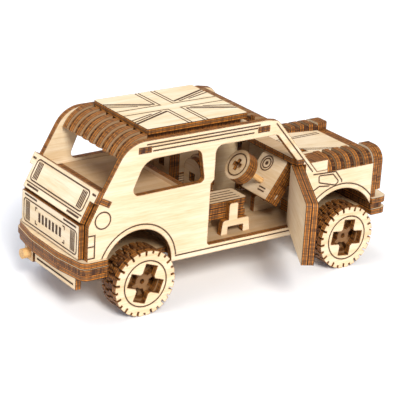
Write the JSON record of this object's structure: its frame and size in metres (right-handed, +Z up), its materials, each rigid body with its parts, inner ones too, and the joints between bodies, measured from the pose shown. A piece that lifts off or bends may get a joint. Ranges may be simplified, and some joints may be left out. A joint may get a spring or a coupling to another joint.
{
  "type": "wooden model car kit",
  "caption": "Retro two-door hatchback model built from laser-cut plywood sheets, with opening doors, rolling wheels and a turning steering wheel.",
  "frame": {"origin": "centre of the floor plate's underside, on the centreline midway between the axles", "axes": "+X forward, +Y to the car's left, +Z up"},
  "size_m": [0.1886, 0.1117, 0.0875],
  "materials": {
    "ply_face": "bare birch plywood, laser-cut, with browned edges and engraved lines",
    "ply_edge": "plywood slices seen on their laser-browned edges",
    "dowel": "bare hardwood dowel"
  },
  "bodies": {
    "body": {"right_side_panel": "ply_face", "left_side_panel": "ply_face", "chassis_floor": "ply_face", "cowl_plate": "ply_face", "hinge_posts": "ply_face", "rear_bulkhead": "ply_face", "seat_bulkhead": "ply_face", "parcel_shelf": "ply_face", "tail_shelf": "ply_face", "upper_tail_panel": "ply_face", "number_plate_panel": "ply_face", "rear_bumper_top": "ply_face", "rear_bumper_middle": "ply_face", "rear_bumper_bottom": "ply_face", "rear_valance": "ply_face", "tailpipe_bracket": "ply_face", "tailpipe": "dowel", "roof_base": "ply_face", "roof_riser": "ply_face", "roof_panel": "ply_face", "rear_roof_ribs_large": "ply_edge", "rear_roof_ribs_small": "ply_edge", "front_roof_ribs_large": "ply_edge", "front_roof_ribs_small": "ply_edge", "bonnet": "ply_face", "shoulder_ribs_large": "ply_edge", "shoulder_ribs_small": "ply_edge", "cowl_blocks": "ply_face", "nose_backing": "ply_face", "grille_panel": "ply_face", "front_bumper_top": "ply_face", "front_bumper_middle": "ply_face", "front_bumper_bottom": "ply_face", "seat_brackets": "ply_face", "right_seat_cushion": "ply_face", "left_seat_cushion": "ply_face", "right_seat_back": "ply_face", "left_seat_back": "ply_face", "dash_face": "ply_face", "dash_core": "ply_face", "dash_bracket": "ply_face", "foot_rests": "ply_face", "front_axle_hangers": "ply_face", "rear_axle_hangers": "ply_face", "hinge_pins": "dowel"},
    "right_door": {"right_door_skin": "ply_face", "right_door_liner": "ply_face"},
    "left_door": {"left_door_skin": "ply_face", "left_door_liner": "ply_face"},
    "front_axle_set": {"front_axle": "dowel", "front_right_wheel_face": "ply_face", "front_right_wheel_core": "ply_face", "front_left_wheel_face": "ply_face", "front_left_wheel_core": "ply_face"},
    "rear_axle_set": {"rear_axle": "dowel", "rear_right_wheel_face": "ply_face", "rear_right_wheel_core": "ply_face", "rear_left_wheel_face": "ply_face", "rear_left_wheel_core": "ply_face"},
    "steering": {"steering_column": "dowel", "steering_wheel": "ply_face"}
  },
  "joints": [
    {"name": "right_door_hinge", "type": "hinge", "parent": "body", "child": "right_door", "pos_m": [0.033, -0.0267, 0.019], "axis": [0, 0, 1], "range_deg": [-60, 8]},
    {"name": "left_door_hinge", "type": "hinge", "parent": "body", "child": "left_door", "pos_m": [0.033, 0.0267, 0.019], "axis": [0, 0, -1], "range_deg": [0, 68]},
    {"name": "front_axle_spin", "type": "hinge", "parent": "body", "child": "front_axle_set", "pos_m": [0.0605, 0, -0.006], "axis": [0, 1, 0], "continuous": true},
    {"name": "rear_axle_spin", "type": "hinge", "parent": "body", "child": "rear_axle_set", "pos_m": [-0.0605, 0, -0.006], "axis": [0, 1, 0], "continuous": true},
    {"name": "steering_spin", "type": "hinge", "parent": "body", "child": "steering", "pos_m": [0.02281, -0.012, 0.02277], "axis": [0.8151, 0, -0.5793], "continuous": true}
  ]
}
